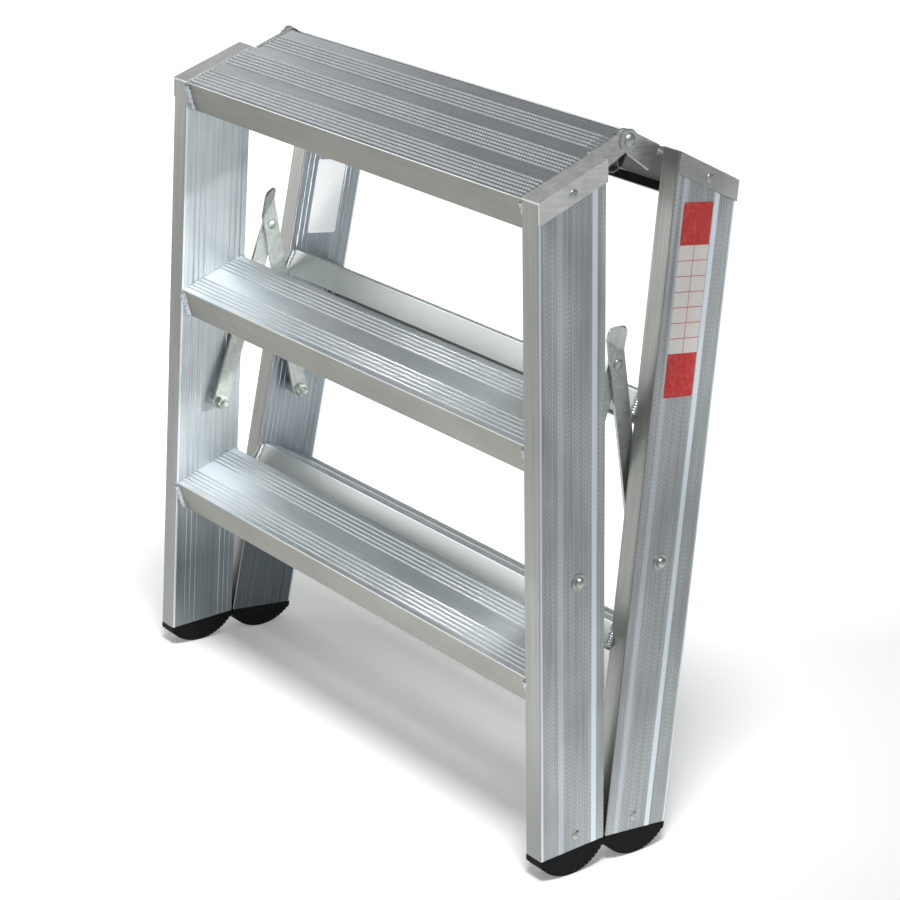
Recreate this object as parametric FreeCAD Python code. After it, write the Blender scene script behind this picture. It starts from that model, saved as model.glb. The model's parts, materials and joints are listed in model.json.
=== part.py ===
import FreeCAD, Part
import math
import os

# A double-sided aluminium step ladder, standing nearly folded.
# Two equal frames are hinged at the ridge, so the rear frame is the front one turned half round.
# X runs along the steps, the front faces -Y, Z is up, and the origin is on the floor below the ridge.
# Sizes are in millimetres and degrees.

Vector = FreeCAD.Vector

# Frame
top_width = 570.0           # over the outer faces of the stiles, at their top front corners
side_taper = 3.87           # lean of each stile to its side
stile_rake = 18.74          # lean of the stiles to the front when the treads are level
stile_length = 640.0        # along the front edge
stile_depth = 81.5
stile_thickness = 22.0
stile_wall = 1.4
stile_corner = 1.6
flute_width = 1.8
flute_depth = 0.45
flute_pitch = 3.4
flute_margin = 6.0
smooth_band = 7.0           # plain bands between the flutes of the outer face
band_from_front = 25.5
band_from_back = 14.0
inner_groove_front = 14.5
inner_groove_back = 8.0
inner_groove_pitch = 6.6
inner_groove_count = 3

# Treads
platform_depth = 130.7
step_depth = 79.0
step_setback = 1.0          # step front behind the front edge of the stile
step_pitch = 228.5          # along the stile
sheet = 1.8
flange_wall = 1.7
flange_height = 34.0
flange_lip = 9.0
tread_corner = 1.5
rib_height = 0.8
rib_foot = 3.0
rib_crest = 1.6
rib_pitch = 5.0
platform_rib_margin = 3.0   # front edge to the first rib
platform_rib_counts = (6, 6, 5)
platform_plain_band = 17.0  # between the groups of ribs
step_rib_margin = 6.0
step_rib_count = 5
nose_overhang = 12.5        # platform sheet past its inner flange
nose_gap = 0.6              # platform edge to the ridge plane when open

# Hinge
hinge_drop = 9.5            # axis below the top of the treads
lug_thickness = 4.0
lug_foot_depth = 16.0       # lug below the axis where it meets the platform
lug_gap = 0.3
hinge_shank = 4.0
hinge_flange = 10.5
hinge_flange_height = 1.8
hinge_dome = 6.5
hinge_dome_height = 4.5
hinge_peen = 6.2
hinge_peen_height = 3.5

# Small turned pieces and their holes
turned_sides = 16
dome_slopes = 3             # from rim to crown
dome_crown = 0.35           # flat top of a dome, as a share of its radius

# End caps and blind rivets
cap_thickness = 2.2
cap_flange = 19.5
cap_rivet_in = 40.0         # from the front edge of the stile
cap_rivet_drop = 11.0
foot_rivet_in = 45.0
foot_rivet_rise = 14.0
rivet_shank = 2.4
rivet_head = 4.75
rivet_head_height = 1.5
rivet_bore = 1.4
rivet_bore_depth = 1.0
rivet_grip = 4.0            # shank behind the outer wall

# Feet
foot_edge = 6.0
foot_sagitta = 20.0
foot_plug = 32.0
feet_gap = 0.84             # between front and rear feet when folded

# Spreader
pivot_in = 48.0             # from the front edge of the stile
pivot_down = 366.0          # along the stile
link_width = 18.5
link_thickness = 3.0
handle_reach = 43.0         # past the elbow
handle_corner = 6.0
handle_fold_low = 10.0      # where the fold line leaves each edge of the handle, past the elbow
handle_fold_high = 28.0
handle_bend = 32.0
pivot_shank = 4.0
pivot_head = 6.6
pivot_head_height = 4.6
pivot_washer = 8.2
pivot_washer_thickness = 1.6
pivot_bush = 6.5
nut_across_flats = 13.0
nut_height = 6.5
thread_end = 4.0            # shank past the nut
elbow_shank = 3.0
elbow_head = 5.2
elbow_head_height = 2.2

# Clearances
running_fit = 0.08          # shaft to bore, in the radius
loose_fit = 0.25            # drilled hole to shank, in the radius
side_play = 0.1             # faces that turn on each other
part_gap = 0.4              # moving pieces that pass each other
plug_gap = 0.3

# Derived places
big = 2.0 * stile_length
tan_taper = math.tan(math.radians(side_taper))
cos_taper = math.cos(math.radians(side_taper))
sin_rake = math.sin(math.radians(stile_rake))
cos_rake = math.cos(math.radians(stile_rake))
stile_front = nose_gap + platform_depth
inner_top = top_width / 2 - stile_thickness / cos_taper

# At the level of the treads, the back edge of a stile is this far from the hinge axis, and its inner
# face has come in this far.
lug_seat = stile_front - stile_depth / cos_rake
inner_back = inner_top - stile_depth * sin_rake / cos_rake * tan_taper

foot_radius = ((stile_depth / 2) ** 2 + foot_sagitta ** 2) / (2 * foot_sagitta)
foot_bottom = -stile_length - foot_edge - foot_sagitta


def turned_about_x(y, z, degrees):
    """Turn a (y, z) point about the X axis."""
    angle = math.radians(degrees)
    return y * math.cos(angle) - z * math.sin(angle), y * math.sin(angle) + z * math.cos(angle)


def open_point(y, z):
    """From the upright stile to the open ladder, whose hinge axis is the origin."""
    turned_y, turned_z = turned_about_x(y, z, -stile_rake)
    return turned_y - stile_front, turned_z + hinge_drop


# The ladder folds until the lower inner corners of its feet meet.
foot_corner = open_point(stile_depth, -stile_length - foot_edge)
leg = math.hypot(*foot_corner)
fold_half = math.degrees(math.atan2(-foot_corner[0], -foot_corner[1]) - math.asin(feet_gap / 2 / leg))

sole_centre = turned_about_x(*open_point(stile_depth / 2, foot_bottom + foot_radius), fold_half)
hinge_height = foot_radius - sole_centre[1]

# The upright stile has its front edge at y = 0 and its top front corner at z = 0.
lean = FreeCAD.Placement(Vector(top_width / 2, 0, 0), FreeCAD.Rotation(Vector(0, 1, 0), -side_taper))
rake = FreeCAD.Placement(Vector(0, -stile_front, hinge_drop), FreeCAD.Rotation(Vector(1, 0, 0), -stile_rake))
fold = FreeCAD.Placement(Vector(0, 0, hinge_height), FreeCAD.Rotation(Vector(1, 0, 0), fold_half))
half_turn = FreeCAD.Placement(Vector(0, 0, 0), FreeCAD.Rotation(Vector(0, 0, 1), 180))

# Spreader links are straight when the ladder is open, so each is as long as its pivot is far from
# the ridge plane, and the elbow rises between the frames when they fold.
pivot_open = open_point(pivot_in, -pivot_down)
pivot_folded = turned_about_x(*pivot_open, fold_half)
link_length = -pivot_open[0]
link_tilt = math.degrees(math.asin(-pivot_folded[0] / link_length))
link_swing = 90 - fold_half - link_tilt
elbow_height = hinge_height + pivot_folded[1] + link_length * math.cos(math.radians(link_tilt))

# A folded link crosses the inner edge of its stile at this distance down, which sets its plane.
link_to_stile = math.radians(link_tilt + fold_half - stile_rake)
crossing_run = (stile_depth - pivot_in + link_width / 2 * math.cos(link_to_stile)) / math.sin(link_to_stile)
crossing_down = (pivot_down - crossing_run * math.cos(link_to_stile)
                 - link_width / 2 * math.sin(link_to_stile))
outer_plane = inner_top + crossing_down * tan_taper - part_gap
inner_plane = outer_plane - link_thickness - part_gap

# The inner flange of a step ends just above the folded link that lies against it.
step_back = (stile_front + step_pitch * sin_rake - step_setback - step_depth)
link_lean = math.radians(link_tilt + fold_half)
edge_run = ((link_length - step_back + link_width / 2 * math.cos(link_lean)) / math.sin(link_lean))
edge_height = pivot_open[1] + link_width / 2 * math.sin(link_lean) + edge_run * math.cos(link_lean)
step_inner_flange = hinge_drop - step_pitch * cos_rake - edge_height - 2 * part_gap


def placed(shape, placement):
    copy = shape.copy()
    copy.Placement = placement.multiply(copy.Placement)
    return copy


def mirrored(shape):
    return shape.mirror(Vector(0, 0, 0), Vector(1, 0, 0))


def block(x, y, z):
    """A box from three (low, high) pairs."""
    corner = Vector(x[0], y[0], z[0])
    return Part.makeBox(x[1] - x[0], y[1] - y[0], z[1] - z[0], corner)


def polygon_wire(points):
    return Part.makePolygon(points + points[:1])


def bar_along_x(outline, low, high):
    """Extrude a closed (y, z) outline along X."""
    wire = polygon_wire([Vector(low, y, z) for y, z in outline])
    return Part.Face(wire).extrude(Vector(high - low, 0, 0))


def ring(x, radius, y=0.0, z=0.0):
    """Corners of a small turned piece round an axis along X."""
    corners = []
    for k in range(turned_sides):
        angle = 2 * math.pi * k / turned_sides
        corners.append(Vector(x, y + radius * math.cos(angle), z + radius * math.sin(angle)))
    return corners


def rod(low, high, radius, y=0.0, z=0.0):
    return Part.Face(polygon_wire(ring(low, radius, y, z))).extrude(Vector(high - low, 0, 0))


def drill(radius, y=0.0, z=0.0, low=-big, high=big):
    """A cutter whose flats clear a round of this radius."""
    return rod(low, high, radius / math.cos(math.pi / turned_sides), y, z)


def line(a, b):
    return Part.LineSegment(Vector(*a), Vector(*b)).toShape()


def arc(a, middle, b):
    return Part.Arc(Vector(*a), Vector(*middle), Vector(*b)).toShape()


def domed_head(radius, height, base=0.0):
    """A low dome on the X axis, rising from x = base to a small flat crown."""
    last = math.acos(dome_crown)
    rings = []
    for k in range(dome_slopes + 1):
        angle = last * k / dome_slopes
        rise = height * math.sin(angle) / math.sin(last)
        rings.append(ring(base + rise, radius * math.cos(angle)))
    facets = [rings[0], rings[-1]]
    for lower, upper in zip(rings, rings[1:]):
        for k in range(turned_sides):
            facets.append([lower[k - 1], lower[k], upper[k], upper[k - 1]])
    return Part.Solid(Part.Shell([Part.Face(polygon_wire(corners)) for corners in facets]))


def stile_prism(outside, inside, front, back):
    """The space along a leaning stile, between offsets from its outer face and its front edge."""
    straight = block((-inside, outside), (front, back), (-big, big))
    return placed(straight, lean)


def below_plane(height):
    return block((-big, big), (-big, big), (height - 2 * big, height))


def above_plane(height):
    return block((-big, big), (-big, big), (height, height + 2 * big))


def between_stiles():
    """The space between the inner faces of the two stiles, on the open ladder."""
    half_low = inner_top + big * tan_taper
    half_high = inner_top - big * tan_taper / 4
    corners = [(-half_low, -big), (half_low, -big), (half_high, big / 4), (-half_high, big / 4)]
    wire = polygon_wire([Vector(x, -big, z) for x, z in corners])
    return placed(Part.Face(wire).extrude(Vector(0, 2 * big, 0)), rake)


inner_space = between_stiles()


# Stiles

def flute_centres():
    centres = []
    centre = flute_margin
    bands = (band_from_front, stile_depth - band_from_back)
    while centre <= stile_depth - flute_margin:
        if all(abs(centre - band) > (smooth_band + flute_width) / 2 for band in bands):
            centres.append(centre)
        centre += flute_pitch
    return centres


def inner_groove_centres():
    steps = [k * inner_groove_pitch for k in range(inner_groove_count)]
    front = [inner_groove_front + step for step in steps]
    back = [stile_depth - inner_groove_back - step for step in reversed(steps)]
    return front + back


def stile_outline():
    """The fluted box section, outer face at x = 0."""
    points = [Vector(0, 0, 0)]
    for centre in flute_centres():
        points.append(Vector(0, centre - flute_width / 2, 0))
        points.append(Vector(-flute_depth, centre, 0))
        points.append(Vector(0, centre + flute_width / 2, 0))
    points.append(Vector(0, stile_depth, 0))
    points.append(Vector(-stile_thickness, stile_depth, 0))
    for centre in reversed(inner_groove_centres()):
        points.append(Vector(-stile_thickness, centre + flute_width / 2, 0))
        points.append(Vector(-stile_thickness + flute_depth, centre, 0))
        points.append(Vector(-stile_thickness, centre - flute_width / 2, 0))
    points.append(Vector(-stile_thickness, 0, 0))
    return points


def stile_bore(gap):
    """Inside of the box section, drawn in by a gap."""
    inset = stile_wall + gap
    low, high = inset, stile_depth - inset
    left, right = -stile_thickness + inset, -inset
    return [Vector(left, low, 0), Vector(right, low, 0), Vector(right, high, 0), Vector(left, high, 0)]


def long_corner_edges(solid):
    """The four long outer edges of the straight stile."""
    corners = [(x, y) for x in (0.0, -stile_thickness) for y in (0.0, stile_depth)]
    found = []
    for edge in solid.Edges:
        middle = edge.CenterOfMass
        at_corner = any(math.hypot(middle.x - x, middle.y - y) < flute_depth / 2 for x, y in corners)
        if at_corner and edge.Length > stile_length:
            found.append(edge)
    return found


def rivet_spot(depth_in, upright_z):
    """A rivet's place on the straight stile's outer face."""
    return Vector(0, depth_in, upright_z / cos_taper)


def cap_rivet_spot():
    drop_along = (cap_rivet_drop - cap_rivet_in * sin_rake) / cos_rake
    return rivet_spot(cap_rivet_in, -drop_along)


def foot_rivet_spot():
    return rivet_spot(foot_rivet_in, foot_rivet_rise - stile_length)


def rivet_hole(spot, depth, gap):
    hole = drill(rivet_shank + gap, low=-depth, high=stile_thickness)
    hole.translate(spot)
    return hole


def along_stile(section):
    """Extrude a section along the straight stile, past both of its ends."""
    section.translate(Vector(0, 0, -big))
    return section.extrude(Vector(0, 0, big + stile_length))


def right_stile():
    section = Part.Face(polygon_wire(stile_outline())).cut(Part.Face(polygon_wire(stile_bore(0.0))))
    straight = along_stile(section)
    straight = straight.makeFillet(stile_corner, long_corner_edges(straight))
    for spot in (cap_rivet_spot(), foot_rivet_spot()):
        straight = straight.cut(rivet_hole(spot, stile_thickness / 2, loose_fit))
    upright = placed(straight, lean).common(above_plane(-stile_length))
    pivot_hole = drill(pivot_shank + loose_fit, pivot_in, -pivot_down, low=0)
    opened = placed(upright.cut(pivot_hole), rake)
    return opened.common(below_plane(hinge_drop - cap_thickness))


def right_cap():
    outside = placed(stile_prism(cap_thickness, stile_thickness, 0, stile_depth), rake)
    inside = placed(stile_prism(0, stile_thickness, -big, big), rake)
    plate = outside.common(below_plane(hinge_drop)).common(above_plane(hinge_drop - cap_flange))
    hole = placed(placed(rivet_hole(cap_rivet_spot(), 0, loose_fit), lean), rake)
    return plate.cut(inside.common(below_plane(hinge_drop - cap_thickness))).cut(hole)


def blind_rivet(spot, base):
    """A blind rivet on the outer face, its head seated on x = base."""
    head = domed_head(rivet_head, rivet_head_height, base)
    shank = rod(-stile_wall - rivet_grip, base + rivet_head_height / 2, rivet_shank)
    bore = rod(base + rivet_head_height - rivet_bore_depth, big, rivet_bore)
    rivet = head.fuse(shank).cut(bore)
    rivet.translate(spot)
    return placed(placed(rivet, lean), rake)


def sole():
    low = -stile_length - foot_edge
    edges = [
        line((0, 0, -stile_length), (0, stile_depth, -stile_length)),
        line((0, stile_depth, -stile_length), (0, stile_depth, low)),
        arc((0, stile_depth, low), (0, stile_depth / 2, foot_bottom), (0, 0, low)),
        line((0, 0, low), (0, 0, -stile_length)),
    ]
    return Part.Face(Part.Wire(edges)).extrude(Vector(big, 0, 0))


def right_foot():
    tread = stile_prism(0, stile_thickness, 0, stile_depth).common(sole())
    plug = placed(along_stile(Part.Face(polygon_wire(stile_bore(plug_gap)))), lean)
    plug_zone = (-stile_length - foot_edge / 2, foot_plug - stile_length)
    plug = plug.common(block((0, big), (-big, big), plug_zone))
    hole = placed(rivet_hole(foot_rivet_spot(), stile_thickness / 2, loose_fit), lean)
    return placed(tread.fuse(plug).removeSplitter().cut(hole), rake)


# Treads

def rib_group_depth(count):
    return (count - 1) * rib_pitch + rib_foot


def rib_group(start, count):
    """Points of a group of ribs along the top, from a start depth."""
    points = []
    for k in range(count):
        centre = start + rib_foot / 2 + k * rib_pitch
        points.append((centre - rib_foot / 2, -rib_height))
        points.append((centre - rib_crest / 2, 0.0))
        points.append((centre + rib_crest / 2, 0.0))
        points.append((centre + rib_foot / 2, -rib_height))
    return points


def tread_outline(depth, ribs, back_overhang, back_height):
    """An inverted channel: ribbed sheet, front flange, back flange and inward lips."""
    back = depth - back_overhang
    under = -rib_height - sheet
    outline = [(0, -flange_height), (0, -rib_height)] + ribs + [(depth, -rib_height), (depth, under)]
    if back_overhang > 0:
        outline.append((back, under))
    outline += [
        (back, -back_height),
        (back - flange_lip, -back_height),
        (back - flange_lip, -back_height + flange_wall),
        (back - flange_wall, -back_height + flange_wall),
        (back - flange_wall, under),
        (flange_wall, under),
        (flange_wall, -flange_height + flange_wall),
        (flange_lip, -flange_height + flange_wall),
        (flange_lip, -flange_height),
    ]
    return outline


def tread_at(outline, front, top):
    """Set a tread's outline with its front edge at y = front, and trim it to the stiles."""
    moved = [(front + y, top + z) for y, z in outline]
    return bar_along_x(moved, -big, big).common(inner_space)


def rounded_front(tread, front, top):
    """Round the front edge of a tread."""
    edges = []
    for edge in tread.Edges:
        middle = edge.CenterOfMass
        near = math.hypot(middle.y - front, middle.z - top + rib_height) < tread_corner / 4
        if near and edge.Length > top_width / 2:
            edges.append(edge)
    return tread.makeFillet(tread_corner, edges)


def step(number):
    down = number * step_pitch
    front = step_setback - stile_front - down * sin_rake
    top = hinge_drop - down * cos_rake
    front_ribs = rib_group(step_rib_margin, step_rib_count)
    back_start = step_depth - step_rib_margin - rib_group_depth(step_rib_count)
    back_ribs = rib_group(back_start, step_rib_count)
    outline = tread_outline(step_depth, front_ribs + back_ribs, 0, step_inner_flange)
    return rounded_front(tread_at(outline, front, top), front, top)


outer_lug = (inner_back - lug_thickness, inner_back)
inner_lug = (outer_lug[0] - lug_gap - lug_thickness, outer_lug[0] - lug_gap)


def platform():
    """The wide top tread, notched at its back corners for the hinge lugs."""
    ribs = []
    start = platform_rib_margin
    for count in platform_rib_counts:
        ribs += rib_group(start, count)
        start += rib_group_depth(count) + platform_plain_band
    outline = tread_outline(platform_depth, ribs, nose_overhang, flange_height)
    tread = rounded_front(tread_at(outline, -stile_front, hinge_drop), -stile_front, hinge_drop)
    behind_seat = (-lug_seat, big)
    everywhere = (-big, big)
    tread = tread.cut(block((outer_lug[0], big), behind_seat, everywhere))
    tread = tread.cut(block((-big, -inner_lug[0]), behind_seat, everywhere))
    lug_sweep = (-hinge_drop - 2 * part_gap, big)
    return tread.cut(block((inner_lug[0] - lug_gap, big), lug_sweep, everywhere))


# Hinge

def lug(span, bore):
    """A welded plate that ends in the hinge eye."""
    low = span[0]
    edges = [
        line((low, -lug_seat, hinge_drop), (low, 0, hinge_drop)),
        arc((low, 0, hinge_drop), (low, hinge_drop, 0), (low, 0, -hinge_drop)),
        line((low, 0, -hinge_drop), (low, -lug_seat, -lug_foot_depth)),
        line((low, -lug_seat, -lug_foot_depth), (low, -lug_seat, hinge_drop)),
    ]
    plate = Part.Face(Part.Wire(edges)).extrude(Vector(span[1] - low, 0, 0))
    return plate.cut(drill(bore))


def hinge_bolt():
    """The bolt of the right eye: flanged dome outside, peened end inside."""
    seat = outer_lug[1]
    peen = inner_lug[0] - lug_gap
    flange = rod(seat, seat + hinge_flange_height, hinge_flange)
    dome = domed_head(hinge_dome, hinge_dome_height, seat + hinge_flange_height)
    shank = rod(peen - hinge_peen_height, seat + hinge_flange_height, hinge_shank)
    end = rod(peen - hinge_peen_height, peen, hinge_peen)
    return shank.fuse([flange, dome, end]).removeSplitter()


# Spreader pivots, on the right stile

def pivot_washer_plate():
    spot = rivet_spot(pivot_in, -pivot_down)
    washer = rod(0, pivot_washer_thickness, pivot_washer).cut(drill(pivot_shank + loose_fit))
    washer.translate(spot)
    return placed(placed(washer, lean), rake)


def pivot_bolt(link_face):
    """Domed head on the washer, shank along X through the stile, link and nut."""
    head = domed_head(pivot_head, pivot_head_height, pivot_washer_thickness)
    head.translate(rivet_spot(pivot_in, -pivot_down))
    head = placed(placed(head, lean), rake)
    y, z = pivot_open
    inside = link_face - link_thickness - 2 * side_play - nut_height - thread_end
    outside = top_width / 2 + pivot_down * tan_taper + pivot_washer_thickness + pivot_head_height / 2
    return rod(inside, outside, pivot_shank, y, z).fuse(head).removeSplitter()


def pivot_bush_tube(link_face):
    """A bush from the leaning inner face of the stile to the link."""
    y, z = pivot_open
    bush = rod(link_face + side_play, big, pivot_bush, y, z)
    return bush.cut(drill(pivot_shank + running_fit, y, z)).common(inner_space)


def pivot_nut(link_face):
    y, z = pivot_open
    high = link_face - link_thickness - side_play
    corner_radius = nut_across_flats / math.sqrt(3)
    corners = []
    for k in range(6):
        angle = math.radians(60 * k)
        corners.append((y + corner_radius * math.cos(angle), z + corner_radius * math.sin(angle)))
    hexagon = bar_along_x(corners, high - nut_height, high)
    return hexagon.cut(drill(pivot_shank + running_fit / 2, y, z))


# Spreader links, drawn with the pivot at the origin and the elbow straight above

def link_bar(low, tip, corner):
    """A flat bar, round about its pivot, up to a tip with rounded corners."""
    half = link_width / 2
    bow = corner * (1 - math.sqrt(0.5))
    shoulder = tip - corner
    edges = [
        line((low, half, 0), (low, half, shoulder)),
        arc((low, half, shoulder), (low, half - bow, tip - bow), (low, half - corner, tip)),
        arc((low, corner - half, tip), (low, bow - half, tip - bow), (low, -half, shoulder)),
        line((low, -half, shoulder), (low, -half, 0)),
        arc((low, -half, 0), (low, 0, -half), (low, half, 0)),
    ]
    if corner < half:
        edges.insert(2, line((low, half - corner, tip), (low, corner - half, tip)))
    bar = Part.Face(Part.Wire(edges)).extrude(Vector(link_thickness, 0, 0))
    bar = bar.cut(drill(pivot_shank + running_fit))
    return bar.cut(drill(elbow_shank + running_fit / 2, 0, link_length))


def plain_link(low):
    """A link that ends round about the elbow."""
    return link_bar(low, link_length + link_width / 2, link_width / 2)


def handle_link(low, slope):
    """A link whose end past the elbow is folded towards +X on a slanting line."""
    half = link_width / 2
    middle = low + link_thickness / 2
    rise = [handle_fold_low, handle_fold_high]
    left, right = rise if slope > 0 else reversed(rise)
    fold_left = Vector(middle, -half, link_length + left)
    fold_right = Vector(middle, half, link_length + right)
    tip = link_length + handle_reach
    bar = link_bar(low, tip, handle_corner)
    flap_face = polygon_wire([
        Vector(low, -half, fold_left.z), Vector(low, half, fold_right.z),
        Vector(low, half, tip), Vector(low, -half, tip),
    ])
    flap_zone = Part.Face(flap_face).extrude(Vector(link_thickness, 0, 0))
    flap = bar.common(flap_zone)
    along = fold_right.sub(fold_left)
    flap.rotate(fold_left, along, handle_bend)
    knuckle = Part.makeCylinder(link_thickness / 2, along.Length + link_width,
                                fold_left.sub(Vector(along).normalize().multiply(half)), along)
    knuckle = knuckle.common(block((-big, big), (-half, half), (0, 2 * big)))
    return bar.cut(flap_zone).fuse([knuckle, flap]).removeSplitter()


def elbow_rivet(low, outward):
    """Half of the elbow rivet: a shank in its own link and a head on that link's free side."""
    high = low + link_thickness
    head = domed_head(elbow_head, elbow_head_height)
    if outward < 0:
        head = mirrored(head)
    head.translate(Vector(high if outward > 0 else low, 0, 0))
    half = rod(low, high, elbow_shank).fuse(head).removeSplitter()
    half.translate(Vector(0, 0, link_length))
    return half


def link_place(front):
    """Where a front or rear link stands on the folded ladder."""
    side = -1 if front else 1
    foot = Vector(0, -side * pivot_folded[0], hinge_height + pivot_folded[1])
    return FreeCAD.Placement(foot, FreeCAD.Rotation(Vector(1, 0, 0), side * link_tilt))


# Assembly

def frame_pieces():
    """All pieces of the open front frame, by name."""
    stile, cap, foot = right_stile(), right_cap(), right_foot()
    cap_rivet = blind_rivet(cap_rivet_spot(), cap_thickness)
    foot_rivet = blind_rivet(foot_rivet_spot(), 0)
    washer = pivot_washer_plate()
    faces = {"right": inner_plane, "left": outer_plane}

    def pair(make):
        return Part.makeCompound([make(faces["right"]), mirrored(make(faces["left"]))])

    return {
        "stile_right": stile,
        "stile_left": mirrored(stile),
        "cap_right": cap,
        "cap_left": mirrored(cap),
        "foot_right": foot,
        "foot_left": mirrored(foot),
        "platform": platform(),
        "middle_step": step(1),
        "bottom_step": step(2),
        "hinge_lug_right": lug(outer_lug, hinge_shank + running_fit / 2),
        "hinge_lug_left": mirrored(lug(inner_lug, hinge_shank + running_fit)),
        "hinge_bolt": hinge_bolt(),
        "cap_rivets": Part.makeCompound([cap_rivet, mirrored(cap_rivet)]),
        "foot_rivets": Part.makeCompound([foot_rivet, mirrored(foot_rivet)]),
        "pivot_washers": Part.makeCompound([washer, mirrored(washer)]),
        "pivot_bolts": pair(pivot_bolt),
        "pivot_bushes": pair(pivot_bush_tube),
        "pivot_nuts": pair(pivot_nut),
    }


def rear_name(name):
    """A half turn brings the right side to the left."""
    if name.endswith("right"):
        return "rear_" + name.replace("right", "left")
    return "rear_" + name.replace("left", "right")


def link_pieces():
    """Links and rivet halves on the folded ladder. The rear link is on the +X side of each pair."""
    outer_low, inner_low = outer_plane - link_thickness, inner_plane - link_thickness
    front, rear = link_place(True), link_place(False)
    return {
        "front_link_right": placed(plain_link(inner_low), front),
        "front_elbow_rivet_right": placed(elbow_rivet(inner_low, -1), front),
        "rear_link_right": placed(handle_link(outer_low, -1), rear),
        "rear_elbow_rivet_right": placed(elbow_rivet(outer_low, 1), rear),
        "front_link_left": placed(plain_link(-outer_plane), front),
        "front_elbow_rivet_left": placed(elbow_rivet(-outer_plane, -1), front),
        "rear_link_left": placed(handle_link(-inner_plane, 1), rear),
        "rear_elbow_rivet_left": placed(elbow_rivet(-inner_plane, 1), rear),
    }


def ladder():
    nodes = {}
    for name, piece in frame_pieces().items():
        folded = placed(piece, fold)
        nodes["front_" + name] = folded
        nodes[rear_name(name)] = placed(folded, half_turn)
    nodes.update(link_pieces())
    return nodes


nodes = ladder()
os.makedirs("parts", exist_ok=True)
for name, shape in nodes.items():
    shape.exportStep("parts/" + name + ".step")
    solids = shape.Solids
    print(f"{name}: {len(solids)} solids, {shape.Volume / 1000:.2f} cm3, valid {shape.isValid()}")
print(f"hinge height {hinge_height:.2f}, elbow height {elbow_height:.2f}, link length {link_length:.2f}")
print(f"link swing {link_swing:.2f}, step inner flange {step_inner_flange:.2f}, outer plane {outer_plane:.2f}")
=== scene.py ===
# %% [markdown]
# # A double-sided aluminium step ladder
# The ladder has two equal frames, hinged at the ridge, and stands nearly folded. Its solids come packed as a
# frame of named nodes. This lesson dresses them: edges are eased, fasteners are turned round, the treads get
# their teeth and the joints their welds, and every surface gets a finish made of nodes.

# %% Load the frame
import json
import math

import bpy
from mathutils import Matrix, Vector


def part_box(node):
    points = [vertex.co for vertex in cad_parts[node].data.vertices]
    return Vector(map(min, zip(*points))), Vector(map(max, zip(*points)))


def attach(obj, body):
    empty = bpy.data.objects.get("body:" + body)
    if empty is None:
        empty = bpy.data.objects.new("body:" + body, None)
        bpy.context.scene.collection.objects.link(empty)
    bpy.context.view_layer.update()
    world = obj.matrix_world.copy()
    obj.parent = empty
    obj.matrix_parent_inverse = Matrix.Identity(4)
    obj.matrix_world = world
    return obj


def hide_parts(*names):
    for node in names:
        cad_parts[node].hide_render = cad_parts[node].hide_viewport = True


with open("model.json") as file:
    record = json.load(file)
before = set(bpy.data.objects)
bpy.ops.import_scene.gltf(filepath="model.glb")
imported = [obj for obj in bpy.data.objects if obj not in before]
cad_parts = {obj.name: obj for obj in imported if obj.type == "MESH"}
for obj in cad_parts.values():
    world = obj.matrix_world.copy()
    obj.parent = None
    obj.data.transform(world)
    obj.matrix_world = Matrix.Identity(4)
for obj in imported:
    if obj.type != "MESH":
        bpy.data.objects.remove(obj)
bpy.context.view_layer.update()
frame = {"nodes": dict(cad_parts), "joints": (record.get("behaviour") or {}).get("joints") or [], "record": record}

# %% [markdown]
# The lesson needs the same places as the solids: a stile leans out and back, a tread is square to the fold.
# Each place is one matrix, so a piece can be modelled upright at the origin and then set where it belongs.
# The alternative is to measure every place on the model, which drifts. Sizes are in millimetres and degrees.

# %% Sizes and places
MM = 0.001
top_width, side_taper, stile_rake = 570.0, 3.87, 18.74
stile_length, stile_depth, stile_thickness, stile_wall = 640.0, 81.5, 22.0, 1.4
platform_depth, nose_gap, hinge_drop = 130.7, 0.6, 9.5
step_depth, step_setback, step_pitch = 79.0, 1.0, 228.5
flange_height, rib_height, rib_foot, rib_pitch = 34.0, 0.8, 3.0, 5.0

stile_front = nose_gap + platform_depth
sin_rake, cos_rake = math.sin(math.radians(stile_rake)), math.cos(math.radians(stile_rake))
tan_taper, cos_taper = math.tan(math.radians(side_taper)), math.cos(math.radians(side_taper))
inner_top = top_width / 2 - stile_thickness / cos_taper
fold_joint = next(joint for joint in frame["joints"] if joint["name"] == "fold")
hinge_height = fold_joint["pos_m"][2] / MM
fold_half = fold_joint["range_deg"][1] / 2


def shift(x, y, z):
    return Matrix.Translation(Vector((x, y, z)) * MM)


def turn(degrees, axis):
    return Matrix.Rotation(math.radians(degrees), 4, axis)


fold = shift(0, 0, hinge_height) @ turn(fold_half, "X")
rake = shift(0, -stile_front, hinge_drop) @ turn(-stile_rake, "X")
lean = shift(top_width / 2, 0, 0) @ turn(-side_taper, "Y")
right_stile = fold @ rake @ lean
ends = {"front": Matrix.Identity(4), "rear": turn(180, "Z")}
flip = Matrix.Scale(-1, 4, (1, 0, 0))


def other_side(place):
    """The same place on the opposite side. The piece's own X flips too, so it isn't turned inside out."""
    return flip @ place @ flip


def tread_place(number):
    """Front edge and crest plane of a tread: 0 is the platform, 1 and 2 are the steps."""
    back = step_setback if number else 0.0
    down = number * step_pitch
    return fold @ shift(0, back - stile_front - down * sin_rake, hinge_drop - down * cos_rake)


def both_sides(end, place):
    """A place and its mirror image, on one of the two frames."""
    return [ends[end] @ place, ends[end] @ other_side(place)]


near_and_far = {"front": ("right", "left"), "rear": ("left", "right")}
stiles = {f"{end}_stile_{side}": place for end in ends
          for side, place in zip(near_and_far[end], both_sides(end, right_stile))}
print("hinge height", round(hinge_height, 2), "fold", round(2 * fold_half, 2), "stiles", sorted(stiles))

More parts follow.
